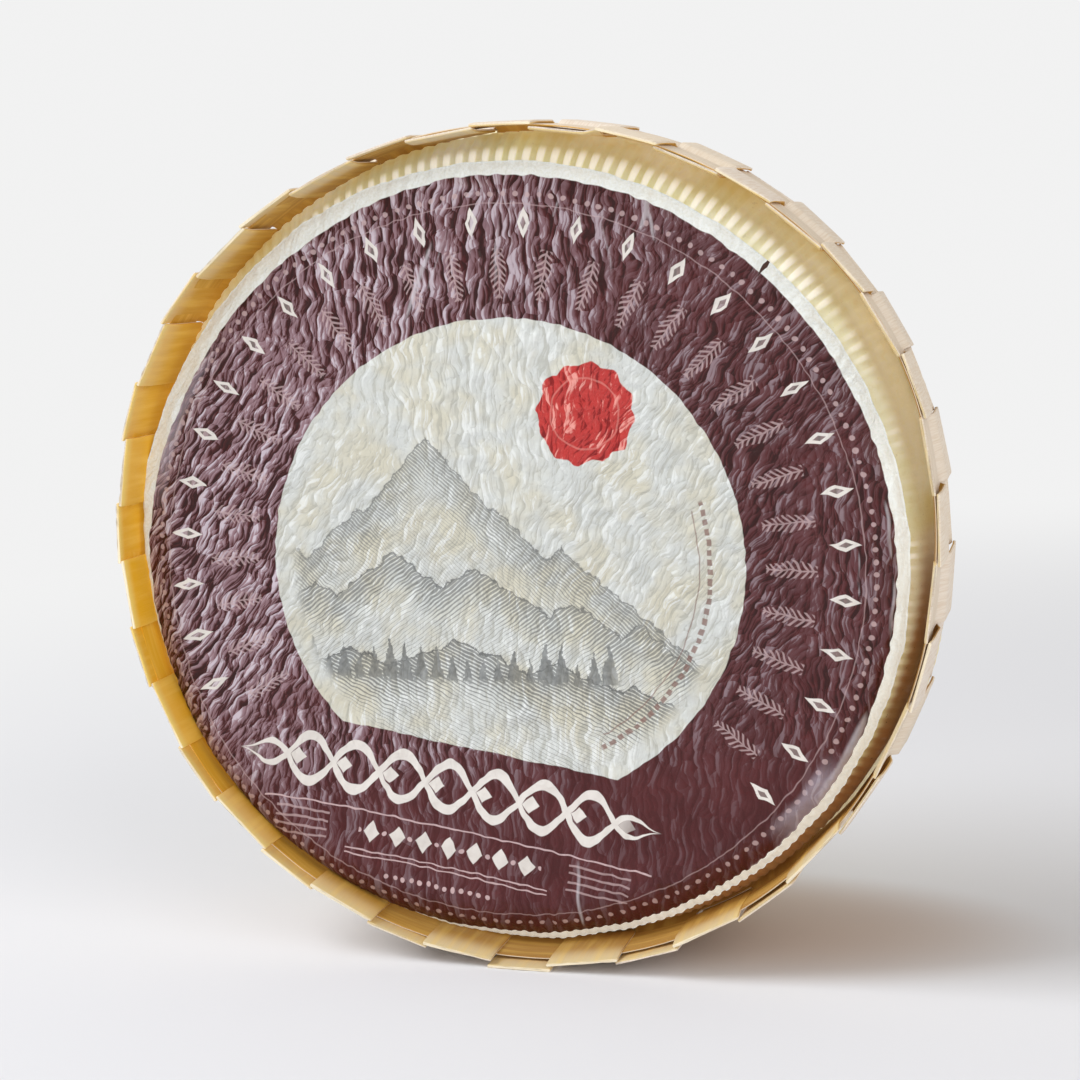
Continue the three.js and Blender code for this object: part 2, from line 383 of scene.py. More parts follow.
def rib_crest(angle):
    """1 on the crest of a rib and 0 in the furrow. The ribs wander a little, and lie closer together
    at the foot than at the top."""
    turns = RIB_COUNT * angle - RIB_CROWDING * np.sin(angle) + 0.5 * noise_round(angle, 9, 40, 1)
    return smooth_step(0.12, 0.8, 0.5 + 0.5 * np.cos(turns))


def rib_strength(angle):
    """How deep the ribs are round the wheel: uneven, and worn down at the right."""
    uneven = 0.2 * noise_round(angle, 14, 90, 2)
    return np.clip(0.8 + uneven - 0.55 * near_angle(angle, 78, 32), 0.15, 1)


def rind_profile():
    """Rows of the rind from the face's middle to the back's: distance, depth, outward x and y,
    shares of the ribs' depth and of both swellings, and how much finer than the flats it is."""
    fine = 4
    rows = [(distance, 0, 0, -1, 0, 0, 0, 1) for distance in (45, 90, 120)]
    for turn in np.linspace(0, math.pi / 2, 17):
        distance, depth, outward = corner_at(turn)
        filling = smooth_step(*SWELLING_DEPTHS, depth)
        rows.append((distance, depth, *outward, min(1, 1.25 * math.sin(turn)), filling, 0, fine))
    for share in np.linspace(0.06, 1, 14):
        depth = CORNER_DEEP + share**1.6 * (SNUG_DEPTH - CORNER_DEEP)
        ribs = 1 - 0.7 * smooth_step(12, 26, depth)
        filling = smooth_step(*SWELLING_DEPTHS, depth)
        rows.append((CHEESE_RADIUS, depth, 1, 0, ribs, filling, 0, fine))
    heel_depth = CHEESE_HEIGHT - CORNER_DEEP
    for share in np.linspace(0, 1, 5)[:-1]:
        depth = HEEL_START + share * (heel_depth - HEEL_START)
        swollen = smooth_step(0, 1, 0.15 + 0.85 * share) if share else 0
        rows.append((CHEESE_RADIUS, depth, 1, 0, BACK_RIBS, 1 - swollen, swollen, fine))
    for turn in np.linspace(math.pi / 2, 0, 17):
        distance, depth, outward = corner_at(turn)
        out_x, out_y = outward
        ribs = BACK_RIBS * min(1, 1.25 * math.sin(turn))
        rows.append((distance, CHEESE_HEIGHT - depth, out_x, -out_y, ribs, 0, 1, fine))
    flat_edge = CHEESE_RADIUS - CORNER_ACROSS
    for distance in np.linspace(flat_edge - 4, 4, 30):
        rows.append((distance, CHEESE_HEIGHT, 0, 1, 0, 0, distance / flat_edge, 1))
    return rows


def rind(material):
    flat_columns = 2 * RIB_COUNT
    points = []
    crests = []
    rings = []
    total = 0
    for distance, depth, out_x, out_y, ribs, snug, heel, finer in rind_profile():
        count = flat_columns * finer
        angle = TURN * np.arange(count) / count
        reach = distance + swelling(angle, depth, snug, heel)
        crest = rib_crest(angle)
        strength = rib_strength(angle)
        sink = RIB_DEPTH * ribs * strength * (1 - crest)
        x, y = distance * np.cos(angle), distance * np.sin(angle)
        uneven = 0.25 * (0.5 + 0.5 * smooth_noise(x / 23, y / 23 + depth / 17, 3))
        uneven = uneven + 0.12 * (0.5 + 0.5 * smooth_noise(x / 6, y / 6 + depth / 5, 4))
        sink = sink + uneven * (1.6 if depth > CHEESE_HEIGHT / 2 else 1.0)
        points.append(wheel_points(angle, reach - sink * out_x, depth - sink * out_y))
        crests.append(crest * ribs * strength)
        rings.append(np.arange(total, total + count).tolist())
        total += count
    faces = []
    for ring, other in zip(rings, rings[1:]):
        if len(ring) <= len(other):
            faces += ring_faces(ring, other)
        else:
            faces += [face[::-1] for face in ring_faces(other, ring)]
    poles = (total, rings[0], 0.3), (total + 1, rings[-1][::-1], CHEESE_HEIGHT - 0.3)
    for pole, ring, depth in poles:
        points.append(wheel_points(0.0, 0.0, depth))
        crests.append([0.0])
        faces += [[ring[(i + 1) % len(ring)], ring[i], pole] for i in range(len(ring))]
    made = piece("rind", np.concatenate(points), faces, material, {"rib": np.concatenate(crests)})
    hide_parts("cheese")
    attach(made, BODY)


def rind_finish():
    finish = Finish("rind")
    x, y, z = finish.place()
    right, depth, up = x * (1 / MM) - AXIS_X, y * (1 / MM) - FACE_Y, z * (1 / MM) - AXIS_Z
    place = vector(right, depth, up)
    crest = finish.attribute("rib")
    cloud = place.noise(0.035, 3)
    fine = place.noise(0.3, 4, 0.6)
    speck = place.noise(0.55, 2)
    front = depth.step(30.0, 58.0, 1.0, 0.0)
    straw = cloud.step(0.35, 0.62).mix(srgb(236, 236, 190), srgb(244, 245, 218))
    straw_behind = cloud.step(0.3, 0.7).mix(srgb(236, 219, 170), srgb(243, 232, 196))
    # Painted shade: inside the belt, close to the slats, the straw is painted darker and more golden.
    deep = depth.step(8.0, 16.0, 0.0, 0.8) * (front * 0.9 + 0.1)
    # Painted highlight: the ribs' crests beside the label are painted near white and made to glow,
    # fading out towards the belt.
    rib_highlight = crest.step(0.15, 0.55) * depth.step(4.0, 8.0, 1.0, 0.06)
    # Painted shade: the lower right is painted brown, as shade warmed by light from the wood, and is
    # spotted.
    low_right = (right - up * 1.1).step(120.0, 190.0) * depth.step(6.0, 13.0, 0.15, 1.0) * front
    colour = layer(
        front.mix(straw_behind, straw),
        (fine.step(0.45, 0.75, 0.0, 0.3), srgb(222, 210, 146)),
        (deep * cloud.step(0.3, 0.6, 1.0, 0.4), srgb(212, 190, 110)),
        (rib_highlight * 0.82, srgb(252, 252, 244)),
        (low_right * cloud.step(0.25, 0.55, 0.6, 0.95), srgb(188, 136, 86)),
        (speck.step(0.7, 0.74, 0.0, 0.6) * (low_right + 0.2), srgb(96, 62, 38)),
    )
    height = crest * 0.4 + fine * 0.5 + place.noise(1.4, 3) * 0.25
    # Painted light: inside the belt the rind glows, standing in for light that comes through the wood
    # and the cheese. The painted rib highlights glow too, and the glow is weaker in the painted shade
    # at the lower right.
    glow = depth.step(5.0, 20.0, 0.12, 0.34) * (front * 0.8 + 0.2)
    finish.set(
        Base_Color=colour,
        Roughness=fine.step(0.3, 0.8, 0.38, 0.6),
        Subsurface_Weight=0.08,
        Subsurface_Scale=0.01,
        Subsurface_Radius=(1.0, 0.7, 0.35),
        Emission_Color=colour,
        Emission_Strength=(glow + rib_highlight * 0.2) * (1.0 - low_right * 0.7),
        Normal=height.bump(0.35, 0.6),
    )
    return finish.material


# ---------- the label

# Long sharp folds in the paper, as right and up of both ends, width and height.
LONG_FOLDS = (
    (-24, 124, -38, 88, 2.2, 0.75),
    (-17, 130, -30, 96, 1.6, 0.5),
    (57, 141, 54, 123, 2.0, 0.9),
    (54, 138, 60, 119, 1.6, 0.8),
    (1, 134, -2, 99, 1.6, 0.6),
    (24, 137, 21, 129, 1.5, 0.6),
    (-8, 136, -11, 112, 1.4, 0.6),
    (38, 132, 44, 104, 1.6, 0.55),
    (16, 84, -40, 54, 1.8, 0.35),
    (26, -110, 27, -144, 2.0, 0.7),
    (141, 30, 145, 4, 1.6, 0.8),
    (145, 2, 144, -26, 1.4, 0.8),
    (132, 14, 134, -16, 1.3, 0.6),
    (137, -48, 116, -90, 3.4, 0.9),
    (112, -94, 89, -118, 1.8, 0.7),
    (-131, 66, -140, 34, 3.6, 0.6),
    (102, 111, 106, 118, 1.6, 1.3),
)


def disc_grid(cells):
    """A square grid of cells pressed into a disc of radius 1: the points, row by row."""
    side = np.linspace(-1, 1, cells + 1)
    a, b = np.meshgrid(side, side, indexing="ij")
    wide = np.abs(a) > np.abs(b)
    longer = np.where(wide, a, b)
    shorter = np.where(wide, b, a)
    lean = np.divide(shorter, longer, out=np.zeros_like(a), where=longer != 0) * math.pi / 4
    x = np.where(wide, longer * np.cos(lean), longer * np.sin(lean))
    y = np.where(wide, longer * np.sin(lean), longer * np.cos(lean))
    return x.ravel(), y.ravel()


def disc_numbers(cells, start=0):
    """The numbers of such a grid's points: once round its rim, and for each face."""
    number = start + np.arange((cells + 1) ** 2).reshape(cells + 1, cells + 1)
    rim = [*number[0, :-1], *number[:-1, -1], *number[-1, :0:-1], *number[:0:-1, 0]]
    corners = (number[:-1, :-1], number[1:, :-1], number[1:, 1:], number[:-1, 1:])
    return rim, np.stack(corners, -1).reshape(-1, 4).tolist()


def folded_points(angle, flat, height):
    """Where points of flat paper come to lie on the cheese, a height above its rind. The stiff
    paper follows the corner only so far round, and its rim then stands straight out. At the lower
    left the paper is puffed up against the belt, and at the left its rim lies flat outwards."""
    puffed = near_angle(angle, 226, 38)
    lip = near_angle(angle, 277, 24)
    radius = CHEESE_RADIUS + 1.6 * puffed
    across = CORNER_ACROSS - 6 * puffed
    deep = CORNER_DEEP - 8 * puffed
    turns = np.linspace(0, math.pi / 2, 400)
    steps = np.hypot(CORNER_ACROSS * np.cos(turns), CORNER_DEEP * np.sin(turns))
    along = np.concatenate([[0], np.cumsum((steps[1:] + steps[:-1]) / 2 * np.diff(turns))])
    longer = (across + deep) / (CORNER_ACROSS + CORNER_DEEP)
    past = flat - (radius - across)
    furthest = np.radians(56 + 14 * puffed - 34 * lip)
    turn = np.minimum(np.interp(past / longer, along, turns), furthest)
    distance, depth, outward = corner_at(turn, radius, across, deep)
    rest = np.maximum(0, past - np.interp(furthest, turns, along) * longer)
    distance = np.where(past < 0, flat, distance) + height * outward[..., 0] - rest * outward[..., 1]
    depth = depth + height * outward[..., 1] + rest * outward[..., 0]
    depth = depth - 2.4 * puffed * smooth_step(126, 148, distance)
    # Where the rim meets the belt's slats, it bends back along them.
    beyond = np.maximum(0, distance - belt_radius(angle, depth) + 2.7)
    return wheel_points(angle, distance - beyond, depth + beyond), turn


def leaned(right, up, lean):
    """A place on a plane as along and across a way that leans, in degrees up from level."""
    c, s = math.cos(math.radians(lean)), math.sin(math.radians(lean))
    return right * c + up * s, up * c - right * s


def ridges(right, up, lean, spacing, seed):
    """Broken parallel ridges in the paper, which run at a lean."""
    along, across = leaned(right, up, lean)
    bend = 1.6 * smooth_noise(along / 8, across / 10, seed)
    bend = bend + 0.6 * smooth_noise(along / 3.2, across / 4, seed + 1)
    bent = (across + bend) / spacing
    coarse = 1 - np.abs(smooth_noise(bent, along / 9.0, seed + 2)) * 2.4
    finer = 1 - np.abs(smooth_noise(bent * 1.9, along / 5.5, seed + 3)) * 2.4
    soft = smooth_noise(bent * 1.2 + 40, along / 7.0, seed + 4)
    return 0.6 * coarse + 0.4 * finer + 0.5 * soft


def crumple(right, up):
    """Soft irregular wrinkles, as of paper that was crumpled and smoothed out again."""
    x = right + 2.4 * smooth_noise(right / 8, up / 8, 40)
    y = up + 2.4 * smooth_noise(right / 8, up / 8, 41)
    broad = 1 - np.abs(smooth_noise(x / 6.0 + y / 14, y / 9.0, 42)) * 2.2
    narrow = 1 - np.abs(smooth_noise(x / 3.2, y / 4.6, 43)) * 2.2
    return 0.65 * broad + 0.4 * narrow


def upright_share(right, up):
    """How far the paper's ridges run upright instead of leaning: at the top, foot and right rim."""
    distance = np.hypot(right, up)
    angle = np.degrees(np.arctan2(right, up))
    share = smooth_step(58, 20, np.abs(angle + 8)) + smooth_step(112, 140, np.abs(angle))
    return np.clip(share + smooth_step(104, 126, distance) * smooth_step(60, 80, angle), 0, 1)


def long_folds(right, up):
    """How high the long folds stand."""
    fold = np.zeros_like(right)
    for x0, y0, x1, y1, width, tall in LONG_FOLDS:
        run = np.array([x1 - x0, y1 - y0], float)
        length = np.hypot(*run)
        share = ((right - x0) * run[0] + (up - y0) * run[1]) / length**2
        near = np.clip(share, 0, 1)
        bend = 0.9 * smooth_noise(near * length / 9, np.full_like(near, x0 + y1), 32)
        aside = ((right - x0) * run[1] - (up - y0) * run[0]) / length + bend
        gone = np.hypot(aside, (share - near) * length)
        crest = np.clip(1 - gone / width, 0, 1) ** 1.3 * (1 - (2 * near - 1) ** 4)
        fold = np.maximum(fold, crest * tall)
    return fold


def crinkles(right, up, upright):
    """The height of the paper over its flat lie, and how much of it is ridges."""
    distance = np.hypot(right, up)
    angle = np.degrees(np.arctan2(right, up))
    leaning = ridges(right, up, 55, 3.4, 10)
    standing = ridges(right, up, 84, 3.6, 20)
    fine = upright * standing + (1 - upright) * leaning
    middle = smooth_step(98, 84, distance)
    calm = smooth_step(95, 130, np.abs(angle)) * smooth_step(60, 100, distance)
    relief = fine * (1 - 0.55 * middle) + crumple(right, up) * (0.3 + 0.5 * middle)
    relief = (relief - relief.mean()) / relief.std() * (1 - 0.45 * calm)
    height = 0.24 * relief + 0.25 * smooth_noise(right / 13, up / 13, 30)
    # The band over the corner is stretched smoother at the lower left.
    tight = smooth_step(128, 137, distance) * smooth_step(60, 20, np.abs(angle + 100))
    margin = smooth_step(MARGIN_START - 3, MARGIN_START, distance)
    smooth = 1 - np.maximum(0.6 * tight, 0.5 * margin)
    return height * smooth, relief * smooth


def paper_margin_lift(right, up):
    """The paper's rim stands off the rind here and there."""
    distance = np.hypot(right, up)
    angle = np.arctan2(right, up)
    near = smooth_step(138, LABEL_RADIUS, distance)
    return near * (0.35 + 0.5 * np.maximum(noise_round(angle, 17, 30, 35), -0.5))


def wheel_place_of(right, up):
    """The angle round the wheel and the distance from its axis of a place on the flat paper. The
    paper's ring sits a little lower on the wheel than its middle, and is drawn out sideways."""
    outer = smooth_step(96, 146, np.hypot(right, up))
    across = right * (1 + 0.006 * outer) + LABEL_RIGHT
    rise = up - 1.5 * outer + LABEL_UP
    return np.arctan2(across, rise), np.hypot(across, rise)


def label(material):
    coarse = LABEL_CELLS // 4
    x, y = disc_grid(LABEL_CELLS)
    rim_wave = 1 + 0.003 * smooth_noise(22 * x + 50, 22 * y + 50, 36) * np.hypot(x, y) ** 8
    right, up = LABEL_RADIUS * x * rim_wave, LABEL_RADIUS * y * rim_wave
    upright = upright_share(right, up)
    fold = long_folds(right, up)
    height, relief = crinkles(right, up, upright)
    height = height + fold
    angle, flat = wheel_place_of(right, up)
    _, turn = folded_points(angle, flat, 0)
    ribs = RIB_DEPTH * rib_strength(angle) * (rib_crest(angle) - 1) * np.minimum(1, 1.25 * np.sin(turn))
    pressed = 0.25 + 0.6 * near_angle(angle, 150, 30)
    lift = LABEL_TOP_SIDE + np.maximum(height, -0.42) + paper_margin_lift(right, up) + pressed * ribs
    over, _ = folded_points(angle, flat, np.maximum(lift, 0.3 + ribs))

    low_x, low_y = disc_grid(coarse)
    low_right, low_up = LABEL_RADIUS * low_x, LABEL_RADIUS * low_y
    low_angle, low_flat = wheel_place_of(low_right, low_up)
    _, low_turn = folded_points(0.0, low_flat, 0)
    under, _ = folded_points(low_angle, low_flat, LABEL_LOW_SIDE - 0.6 * np.sin(low_turn))

    rim, faces = disc_numbers(LABEL_CELLS)
    low_rim, low_faces = disc_numbers(coarse, len(over))
    faces += [face[::-1] for face in low_faces] + ring_faces(low_rim, rim)
    print_right = right + 0.45 * smooth_noise(right / 3.1, up / 3.1, 37)
    print_up = up + 0.45 * smooth_noise(right / 3.3, up / 3.3, 38)
    paper = np.stack([print_right, print_up, np.zeros_like(right)], -1)
    plain = np.zeros_like(low_right)
    attributes = {
        "paper": np.concatenate([paper, np.stack([low_right, low_up, plain], -1)]),
        "relief": np.concatenate([relief, plain]),
        "fold": np.concatenate([fold, plain]),
        "upright": np.concatenate([upright, plain]),
    }
    made = piece("paper_label", np.concatenate([over, under]), faces, material, attributes)
    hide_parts("label")
    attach(made, BODY)


def around(angle, count, radius, shift=0.0):
    """How far a point is, along a circle, from the nearest of a number of places round it."""
    return angle.repeated(TURN / count, shift) * radius


def dots(aside, over, square, soft=0.5):
    """Round dots, from the distances to their middles and the square of their radius."""
    return (aside * aside + over * over).below(square, soft)


def ring_print(angle, distance):
    """The small ornaments in the dark ring: strong lozenges, and faint feathers, beads and rule."""
    out = abs(distance - 128.5)
    lozenge = abs(around(angle, ORNAMENT_COUNT, 128)) * 0.42 + out * 0.17
    lozenges = lozenge.below(1.0, 0.12) - lozenge.below(0.45, 0.12) * 0.8
    side = abs(around(angle, ORNAMENT_COUNT, 109, 0.5))
    run = distance - 109
    chevron = abs((run + side * 0.9).repeated(1 / 0.42)) * 0.42
    barbs = chevron.below(0.2, 0.14) * (side + abs(run) * 0.16).below(3.4, 0.4)
    feathers = abs(run).below(9.5, 0.5) * most(barbs, side.below(0.28, 0.3))
    beads = dots(around(angle, 190, 139), distance - 139.2, 0.95, 0.7)
    rule = abs(distance - 135.4).below(0.22, 0.3)
    # The ring of lozenges and feathers stays open at the bottom, where the panel is.
    turned = abs((angle - math.radians(6.75)).math("WRAP", math.pi, -math.pi))
    ring = turned.below(math.radians(126), 0.02)
    return ring * lozenges, most(feathers * ring * 0.62, beads * 0.75, rule * 0.45)


def panel_print(along, rise):
    """The ornament in the dark foot: a bold plaited band, and faint rules and small shapes."""
    over = rise + 90.5
    taper = abs(along + 10).step(58.0, 88.0, 1.0, 0.0)
    plait = []
    for phase in (0.0, math.pi):
        wave = (along * (TURN / PLAIT_LENGTH) + phase).math("SINE")
        strand = (abs(over - wave * taper * 9) - taper * 2.0).below(0.0, 0.35)
        plait.append(strand * taper.step(0.02, 0.08))
    eye_aside = abs(along.repeated(PLAIT_LENGTH / 2, 0.25))
    plait.append((eye_aside * 0.3 + abs(over) * 0.3).below(1.0, 0.15) * taper)

    aside, over = along + 6, rise + 114
    in_row = abs(aside).below(37.0)
    row = (abs(aside.repeated(10.5, 0.5)) * 0.3 + abs(over) * 0.24).below(1.0, 0.12) * in_row
    pips = dots(aside.repeated(10.5), over, 0.9) * in_row
    foot = dots(along.repeated(3.4), rise + 129.3, 0.85) * abs(along + 8).below(22.0)
    rules = [
        abs(rise + 106.5).below(0.3, 0.25) * abs(along + 4).below(78.0),
        abs(rise + 121.5).below(0.25, 0.25) * abs(aside).below(41.0),
        abs(rise + 123.3).below(0.25, 0.25) * abs(aside).below(41.0),
    ]
    lines = abs(rise.repeated(3.1)).below(0.403, 0.31) * abs(rise + 114.5).below(5.8)
    blocks = most(abs(along + 66).below(10.5), abs(along - 54).below(12.0))
    return most(*plait, row * 0.95), most(*rules, pips, foot, lines * blocks * 0.6)


# The engraved ridges from the furthest to the nearest: peaks as place, height and steepness, then
# the hatching's lean, its spacing, how far it runs down the slope, and how dark it is.
RIDGES = (
    (
        ((-58, 20, 0.9), (-30, 48, 1.15), (-4, 22, 1.0), (22, 6, 0.8), (-84, 4, 0.7)),
        (0.85, 1.5, 26.0, 0.8),
    ),
    (
        ((-76, -8, 0.7), (-44, 4, 0.75), (-12, -2, 0.6), (26, -14, 0.7), (52, -22, 0.8)),
        (-0.75, 1.7, 20.0, 0.9),
    ),
    (
        ((-62, -34, 0.45), (-20, -30, 0.4), (20, -38, 0.4), (50, -46, 0.5)),
        (0.5, 1.5, 26.0, 1.0),
    ),
)


def landscape_print(right, up):
    """A grey engraving of mountain ridges and firs, for the label's light middle."""
    place = vector(right, up)
    rough = (place.noise(0.16, 4, 0.65) - 0.5) * 9
    uneven = place.noise(0.5, 2)
    ink = None
    for peaks, (lean, spacing, reach, dark) in RIDGES:
        flanks = [height - abs(right - middle) * steep for middle, height, steep in peaks]
        down = most(*flanks) + rough - up
        stripe = abs((right * lean + up).repeated(spacing)) * (1 / spacing)
        fade = down.step(0.0, reach, 0.36, 0.06)
        lines = (stripe - fade * (uneven * 0.9 + 0.55)).below(0.0, 0.12)
        outline = abs(down - 0.4).below(0.45, 0.5)
        under = down.step(-0.3, 0.3)
        mark = under * most(lines * 0.8, outline) * dark
        ink = mark if ink is None else ink * (1.0 - under) + mark
    # A row of firs stands on the lowest ridge.
    tall = (right * (1 / FIR_SPACING)).math("FLOOR").random() * 9 + 9
    over = up + 46 - (uneven - 0.5) * 8
    jag = abs(over.repeated(2.6)) * (1.6 / 2.6)
    fir = (abs(right.repeated(FIR_SPACING)) * 4.2 + over + jag * 2 - tall).below(0.0, 0.8)
    fir = fir * over.step(-1.0, 1.0) * abs(right + 18).step(58.0, 66.0, 1.0, 0.0)
    return most(ink, fir * (uneven * 0.5 + 0.6))


def seal_print(place, right, up):
    """A bare round seal with a scalloped edge, and the ring drawn on it."""
    angle, out = polar(right - 32, up - 56.5)
    scallops = (angle * 12).math("SINE") * 0.7 + (place.noise(0.12, 2) - 0.5) * 5
    seal = (out - scallops).below(18.6, 0.5)
    return seal, seal * abs(out - 13.2).below(0.35, 0.4) * 0.5


def arc_print(angle, distance):
    """A dashed arc with a thin rule inside it, at the right of the light middle."""
    turned = abs(angle - math.radians(112))
    dash = abs(around(angle, 132, 79)).below(1.15, 0.3) * turned.below(math.radians(40), 0.02)
    rule = abs(distance - 74.8).below(0.25, 0.3) * turned.below(math.radians(38), 0.02)
    return most(abs(distance - 79).below(0.9, 0.4) * dash, rule * 0.8) * 0.8


def corner_glare(angle, distance):
    """Glare on the paper where it turns over the corner, at the left and at the lower right."""
    left = abs(angle + math.radians(68)).step(0.06, 0.3, 0.6, 0.0) * distance.step(138, 141)
    right = abs(angle - math.radians(127)).step(0.05, 0.16, 0.7, 0.0) * distance.step(137, 140.5)
    return most(left, right)


def rim_tear(right, up):
    """A short tear in the rim at the upper right. It is not cut: the shade in its gap is painted dark.
    """
    right, up = right - 99, up - 111.5
    along, aside = right * 0.64 + up * 0.77, right * 0.77 - up * 0.64
    return (abs(aside) + abs(along) * 0.2).below(1.0, 0.3)


def facets(along, across):
    """Long pointed facets between creases: from 0 at one side of each to 1 at the other."""
    inputs = {"Vector": vector(along, across), "Scale": 1.0, "Randomness": 1.0}
    kind = "ShaderNodeTexVoronoi"
    middle = along.finish.node(kind, inputs, "Position", voronoi_dimensions="2D")
    own = Term(along.finish, middle.socket.node.outputs["Color"]).parts()[0]
    slant = across - middle.parts()[1] + (own - 0.5) * 0.4
    return slant.step(-0.5, 0.45) * (own * 0.5 + 0.5)


def paper_shade(right, up, swirl, lean, width):
    """How lit the crinkled paper is: 0 in the shade of a crease and 1 on its lit side. The creases
    run at a lean, a width apart."""
    along, across = leaned(right, up, lean)
    along = (along + (swirl[0] - 0.5) * 14) * (1 / (2.4 * width))
    across = (across + (swirl[1] - 0.5) * 9) * (1 / width)
    return facets(along, across) * 0.7 + facets(along * 2.1, across * 2.1) * 0.36


def label_finish():
    finish = Finish("label_paper")
    right, up, _ = finish.attribute("paper", "Vector").parts()
    place = vector(right, up)
    angle, distance = polar(right, up)
    along, rise = leaned(right, up, -PANEL_TILT)
    fibre = place.noise(0.9, 4, 0.65)
    blotch = place.noise(0.045, 3, 0.55)

    # Short sharp creases, finer than the mesh: they lean at the sides and stand upright elsewhere.
    swirl = place.noise(0.075, 2, 0.35, output="Color").parts()
    leaning = paper_shade(right, up, swirl, 55, 2.8)
    standing = paper_shade(right, up, swirl, 86, 3.4)
    shade = finish.attribute("upright").mix(leaning, standing)
    lit = shade + finish.attribute("relief") * 0.07
    crease_shade = lit.step(0.06, 0.34, 1.0, 0.0)
    slope = lit.step(0.22, 0.58)
    crest = lit.step(0.6, 0.86)
    toward_light = (up * 0.3 - right).step(-80.0, 110.0, 0.15, 1.0)
    # The panel at the foot is smoother, most of all at its right.
    crinkled = (rise - right * 0.3).step(-92.0, -58.0, 0.26, 1.0)

    # Painted light and shade on the creases, in each colour below: lit sides and crests are painted
    # lighter, most towards the light at the left, and the valleys darker.
    plum = layer(
        blotch.step(0.3, 0.7).mix(srgb(78, 27, 29), srgb(89, 36, 38)),
        (slope * toward_light * crinkled * 0.78, srgb(168, 138, 148)),
        (crease_shade * crinkled * 0.92, srgb(48, 14, 13)),
        (crest * (toward_light + 0.2) * crinkled * 0.75, srgb(216, 204, 216)),
    )
    cream = layer(
        blotch.step(0.4, 0.65).mix(srgb(220, 224, 222), srgb(220, 217, 200)),
        (crease_shade * 0.55, srgb(176, 176, 166)),
        (crest * 0.65, srgb(246, 250, 250)),
    )
    red = layer(
        fibre.step(0.35, 0.75).mix(srgb(196, 54, 52), srgb(208, 74, 70)),
        (crease_shade * 0.9, srgb(130, 16, 18)),
        (crest * 0.85, srgb(252, 176, 166)),
    )
    bare = fibre.step(0.3, 0.7).mix(srgb(242, 248, 249), srgb(230, 234, 229))
    white_ink = srgb(236, 231, 226)
    faint_ink = srgb(205, 178, 180)

    strong, faint = ring_print(angle, distance)
    bold, thin = panel_print(along, rise)
    in_panel = rise.below(PANEL_TOP, 0.5)
    dark = layer(
        plum,
        (faint, faint_ink),
        (strong, white_ink),
        (in_panel * thin, faint_ink),
        (in_panel * bold, white_ink),
    )
    seal, seal_ring = seal_print(place, right, up)
    light = layer(
        cream,
        (landscape_print(right, up) * distance.below(84.0, 6.0) * 0.82, srgb(78, 81, 83)),
        (arc_print(angle, distance), srgb(138, 104, 96)),
        (seal, red),
        (seal_ring, srgb(232, 150, 140)),
    )
    in_middle = distance.below(CREAM_RADIUS, 0.35) * rise.step(CREAM_FOOT - 0.2, CREAM_FOOT + 0.2)
    # The print's edge lies further in at the upper left, where more of the bare rim shows.
    wider = abs(angle + math.radians(48)).step(0.15, 0.8, 3.4, 0.0)
    margin = (distance + wider).step(MARGIN_START - 0.2, MARGIN_START + 0.2)
    colour = layer(
        in_middle.mix(dark, light),
        # Painted highlight along the long folds' crests.
        (finish.attribute("fold").step(0.25, 0.65, 0.0, 0.6), srgb(212, 206, 214)),
        (corner_glare(angle, distance) * (crest * 0.35 + 0.75), srgb(196, 188, 206)),
        (margin, bare),
        (rim_tear(right, up), srgb(66, 38, 28)),
    )
    height = place.noise(0.2, 3, 0.6, 0.6) * 0.5 + fibre * 0.08 - shade * crinkled * 0.4
    finish.set(
        Base_Color=colour,
        Roughness=fibre.step(0.3, 0.8, 0.3, 0.42),
        Specular_IOR_Level=0.32,
        Emission_Color=colour,
        # Painted light: the bare rim glows a little, most at the lower right, where it lies in shade.
        Emission_Strength=margin * (right - up).step(50.0, 150.0, 0.1, 0.3),
        Normal=height.bump(1.5, 0.9),
    )
    return finish.material


# ---------- the belt

# The slats' finer shape: how far their edges bend in, how high they wave, how far they lean in
# radians, how far those inside lap under their neighbours, and how far the kinked one stands up.
SLAT_CUP = 0.1
SLAT_WAVE = 0.07
SLAT_LEAN = 0.003
SLAT_LAP = 1.5
KINK_RISE = 1.9

FIBRES_AT_END = 34


def slat_stations(name):
    """The frame's slat as six cross-sections from front to rear: depth, middle, which way it
    faces as an angle round the wheel, half its width and thickness, and its slant at the ends."""
    corners = np.array([v.co for v in frame["nodes"][name].data.vertices]) / MM
    corners = np.unique(corners.round(4), axis=0)
    corners = corners[np.argsort(corners[:, 1])].reshape(6, 4, 3)
    stations = []
    for section in corners:
        middle = section.mean(0)
        spread = (section - middle)[:, [0, 2]]
        _, _, (across, _) = np.linalg.svd(spread)
        angle = math.atan2(middle[0] - AXIS_X, middle[2] - AXIS_Z)
        if across @ (math.cos(angle), -math.sin(angle)) < 0:
            across = -across
        out = np.array([-across[1], across[0]])
        aside = spread @ across
        slant = section[aside > 0, 1].mean() - section[aside < 0, 1].mean()
        sizes = abs(aside).max(), abs(spread @ out).max(), slant
        stations.append((middle[1], *middle[[0, 2]], math.atan2(*out), *sizes))
    stations = np.array(stations)
    stations[:, 3] = np.unwrap(stations[:, 3])
    return stations


def slat_section(half, half_thick):
    """The outline across a slat, with slightly rounded edges: places across and out."""
    flat = [(x * (half - 0.28), half_thick) for x in np.linspace(-1, 1, 11)]
    edge = [(half - 0.08, half_thick - 0.1), (half, 0.25 * half_thick)]
    edge += [(half, -0.25 * half_thick), (half - 0.08, -half_thick + 0.1)]
    side = np.array(flat + edge)
    return np.concatenate([side, -side])


